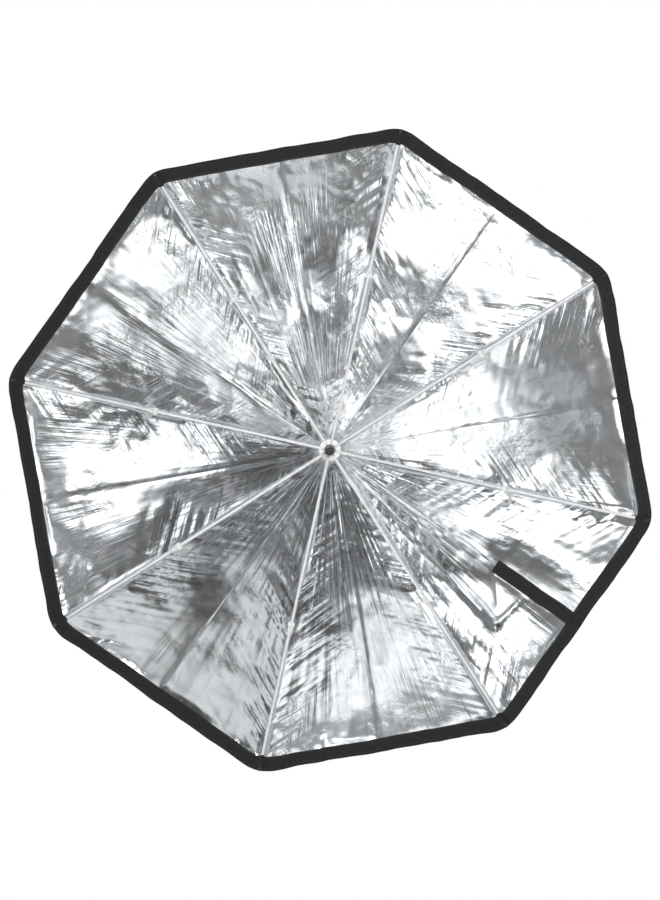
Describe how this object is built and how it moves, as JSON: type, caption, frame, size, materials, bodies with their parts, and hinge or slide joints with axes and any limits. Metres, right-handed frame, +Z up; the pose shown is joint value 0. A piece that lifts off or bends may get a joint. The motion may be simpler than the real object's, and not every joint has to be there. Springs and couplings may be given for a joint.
{
  "type": "octabox",
  "caption": "Folding octagonal reflective bowl on an umbrella frame with ribs, stretchers, a sliding runner, a shaft for a light clamp and a taped slit.",
  "frame": {"origin": "middle of the stretch of shaft that a light's umbrella clamp holds, on the shaft's axis", "axes": "+Y along the shaft towards the hub, -Y out of the mouth, +Z up, +X to the right when looking into the mouth"},
  "size_m": [0.781, 0.6223, 0.781],
  "materials": {
    "shaft_steel": "satin plated tube",
    "spring_steel": "bright wire and strip",
    "rib_rod": "smooth pale fibreglass rod",
    "white_plastic": "moulded, slightly worn",
    "black_plastic": "moulded, fine grain",
    "lining": "crinkled metallised silver, black nylon on the back",
    "tape": "black hook-and-loop tape with stitching"
  },
  "bodies": {
    "shaft": {"shaft": "shaft_steel", "shaft_cap": "black_plastic", "crown": "white_plastic", "crown_ring": "spring_steel", "canopy_washer": "black_plastic", "finial": "black_plastic", "stop_ring": "black_plastic", "catch_spring": "spring_steel"},
    "runner": {"runner": "white_plastic"},
    "catch": {"catch": "spring_steel"},
    "slit_flap": {"slit_flap": "tape"},
    "rib_1": {"rib_1": "rib_rod", "rib_joint_1": "white_plastic", "rib_tip_1": "black_plastic", "canopy_1": "lining", "rim_tape_1": "tape"},
    "stretcher_1": {"stretcher_1": "rib_rod"},
    "rib_2": {"rib_2": "rib_rod", "rib_joint_2": "white_plastic", "rib_tip_2": "black_plastic", "canopy_2": "lining", "rim_tape_2": "tape"},
    "stretcher_2": {"stretcher_2": "rib_rod"},
    "rib_3": {"rib_3": "rib_rod", "rib_joint_3": "white_plastic", "rib_tip_3": "black_plastic", "canopy_3": "lining", "rim_tape_3": "tape"},
    "stretcher_3": {"stretcher_3": "rib_rod"},
    "rib_4": {"rib_4": "rib_rod", "rib_joint_4": "white_plastic", "rib_tip_4": "black_plastic", "canopy_4": "lining", "rim_tape_4": "tape"},
    "stretcher_4": {"stretcher_4": "rib_rod"},
    "rib_5": {"rib_5": "rib_rod", "rib_joint_5": "white_plastic", "rib_tip_5": "black_plastic", "canopy_5": "lining", "rim_tape_5": "tape"},
    "stretcher_5": {"stretcher_5": "rib_rod"},
    "rib_6": {"rib_6": "rib_rod", "rib_joint_6": "white_plastic", "rib_tip_6": "black_plastic", "canopy_6": "lining", "rim_tape_6": "tape"},
    "stretcher_6": {"stretcher_6": "rib_rod"},
    "rib_7": {"rib_7": "rib_rod", "rib_joint_7": "white_plastic", "rib_tip_7": "black_plastic", "canopy_7": "lining", "rim_tape_7": "tape"},
    "stretcher_7": {"stretcher_7": "rib_rod"},
    "rib_8": {"rib_8": "rib_rod", "rib_joint_8": "white_plastic", "rib_tip_8": "black_plastic", "canopy_8": "lining", "rim_tape_8": "tape", "slit_hook_strip": "tape"},
    "stretcher_8": {"stretcher_8": "rib_rod"}
  },
  "joints": [
    {"name": "runner_slide", "type": "slide", "parent": "shaft", "child": "runner", "axis": [0, -1, 0], "range_m": [0, 0.25964]},
    {"name": "rib_1_fold", "type": "hinge", "parent": "shaft", "child": "rib_1", "pos_m": [0.00928, 0.55336, -0.00206], "axis": [-0.2164, 0, -0.9763], "range_deg": [0, 57.63], "deforming": ["canopy_1", "rim_tape_1", "slit_flap"]},
    {"name": "stretcher_1_fold", "type": "hinge", "parent": "rib_1", "child": "stretcher_1", "pos_m": [0.2174, 0.44525, -0.0482], "axis": [-0.2164, 0, -0.9763], "range_deg": [-115.26, 0]},
    {"name": "rib_2_fold", "type": "hinge", "parent": "shaft", "child": "rib_2", "pos_m": [0.00801, 0.55336, 0.0051], "axis": [0.5373, 0, -0.8434], "range_deg": [0, 57.63], "deforming": ["canopy_2", "rim_tape_2"]},
    {"name": "stretcher_2_fold", "type": "hinge", "parent": "rib_2", "child": "stretcher_2", "pos_m": [0.18781, 0.44525, 0.11965], "axis": [0.5373, 0, -0.8434], "range_deg": [-115.26, 0]},
    {"name": "rib_3_fold", "type": "hinge", "parent": "shaft", "child": "rib_3", "pos_m": [0.00206, 0.55336, 0.00928], "axis": [0.9763, 0, -0.2164], "range_deg": [0, 57.63], "deforming": ["canopy_3", "rim_tape_3"]},
    {"name": "stretcher_3_fold", "type": "hinge", "parent": "rib_3", "child": "stretcher_3", "pos_m": [0.0482, 0.44525, 0.2174], "axis": [0.9763, 0, -0.2164], "range_deg": [-115.26, 0]},
    {"name": "rib_4_fold", "type": "hinge", "parent": "shaft", "child": "rib_4", "pos_m": [-0.0051, 0.55336, 0.00801], "axis": [0.8434, 0, 0.5373], "range_deg": [0, 57.63], "deforming": ["canopy_4", "rim_tape_4"]},
    {"name": "stretcher_4_fold", "type": "hinge", "parent": "rib_4", "child": "stretcher_4", "pos_m": [-0.11965, 0.44525, 0.18781], "axis": [0.8434, 0, 0.5373], "range_deg": [-115.26, 0]},
    {"name": "rib_5_fold", "type": "hinge", "parent": "shaft", "child": "rib_5", "pos_m": [-0.00928, 0.55336, 0.00206], "axis": [0.2164, 0, 0.9763], "range_deg": [0, 57.63], "deforming": ["canopy_5", "rim_tape_5"]},
    {"name": "stretcher_5_fold", "type": "hinge", "parent": "rib_5", "child": "stretcher_5", "pos_m": [-0.2174, 0.44525, 0.0482], "axis": [0.2164, 0, 0.9763], "range_deg": [-115.26, 0]},
    {"name": "rib_6_fold", "type": "hinge", "parent": "shaft", "child": "rib_6", "pos_m": [-0.00801, 0.55336, -0.0051], "axis": [-0.5373, 0, 0.8434], "range_deg": [0, 57.63], "deforming": ["canopy_6", "rim_tape_6"]},
    {"name": "stretcher_6_fold", "type": "hinge", "parent": "rib_6", "child": "stretcher_6", "pos_m": [-0.18781, 0.44525, -0.11965], "axis": [-0.5373, 0, 0.8434], "range_deg": [-115.26, 0]},
    {"name": "rib_7_fold", "type": "hinge", "parent": "shaft", "child": "rib_7", "pos_m": [-0.00206, 0.55336, -0.00928], "axis": [-0.9763, 0, 0.2164], "range_deg": [0, 57.63], "deforming": ["canopy_7", "rim_tape_7"]},
    {"name": "stretcher_7_fold", "type": "hinge", "parent": "rib_7", "child": "stretcher_7", "pos_m": [-0.0482, 0.44525, -0.2174], "axis": [-0.9763, 0, 0.2164], "range_deg": [-115.26, 0]},
    {"name": "rib_8_fold", "type": "hinge", "parent": "shaft", "child": "rib_8", "pos_m": [0.0051, 0.55336, -0.00801], "axis": [-0.8434, 0, -0.5373], "range_deg": [0, 57.63], "deforming": ["canopy_8", "rim_tape_8", "slit_hook_strip"]},
    {"name": "stretcher_8_fold", "type": "hinge", "parent": "rib_8", "child": "stretcher_8", "pos_m": [0.11965, 0.44525, -0.18781], "axis": [-0.8434, 0, -0.5373], "range_deg": [-115.26, 0]},
    {"name": "catch_press", "type": "slide", "parent": "shaft", "child": "catch", "axis": [-0.9848, 0, -0.1736], "range_m": [0, 0.0026], "stiffness_N_per_m": 400, "deforming": ["catch_spring"]},
    {"name": "slit_flap_peel", "type": "hinge", "parent": "rib_1", "child": "slit_flap", "pos_m": [0.21002, 0.42676, -0.13669], "axis": [0.6438, -0.6184, -0.4508], "range_deg": [-140, 0]}
  ],
  "couplings": [
    {"joint": "rib_1_fold", "follows": "runner_slide", "rad_per_m": 3.8726},
    {"joint": "stretcher_1_fold", "follows": "runner_slide", "rad_per_m": -7.7452},
    {"joint": "rib_2_fold", "follows": "runner_slide", "rad_per_m": 3.8726},
    {"joint": "stretcher_2_fold", "follows": "runner_slide", "rad_per_m": -7.7452},
    {"joint": "rib_3_fold", "follows": "runner_slide", "rad_per_m": 3.8726},
    {"joint": "stretcher_3_fold", "follows": "runner_slide", "rad_per_m": -7.7452},
    {"joint": "rib_4_fold", "follows": "runner_slide", "rad_per_m": 3.8726},
    {"joint": "stretcher_4_fold", "follows": "runner_slide", "rad_per_m": -7.7452},
    {"joint": "rib_5_fold", "follows": "runner_slide", "rad_per_m": 3.8726},
    {"joint": "stretcher_5_fold", "follows": "runner_slide", "rad_per_m": -7.7452},
    {"joint": "rib_6_fold", "follows": "runner_slide", "rad_per_m": 3.8726},
    {"joint": "stretcher_6_fold", "follows": "runner_slide", "rad_per_m": -7.7452},
    {"joint": "rib_7_fold", "follows": "runner_slide", "rad_per_m": 3.8726},
    {"joint": "stretcher_7_fold", "follows": "runner_slide", "rad_per_m": -7.7452},
    {"joint": "rib_8_fold", "follows": "runner_slide", "rad_per_m": 3.8726},
    {"joint": "stretcher_8_fold", "follows": "runner_slide", "rad_per_m": -7.7452}
  ]
}
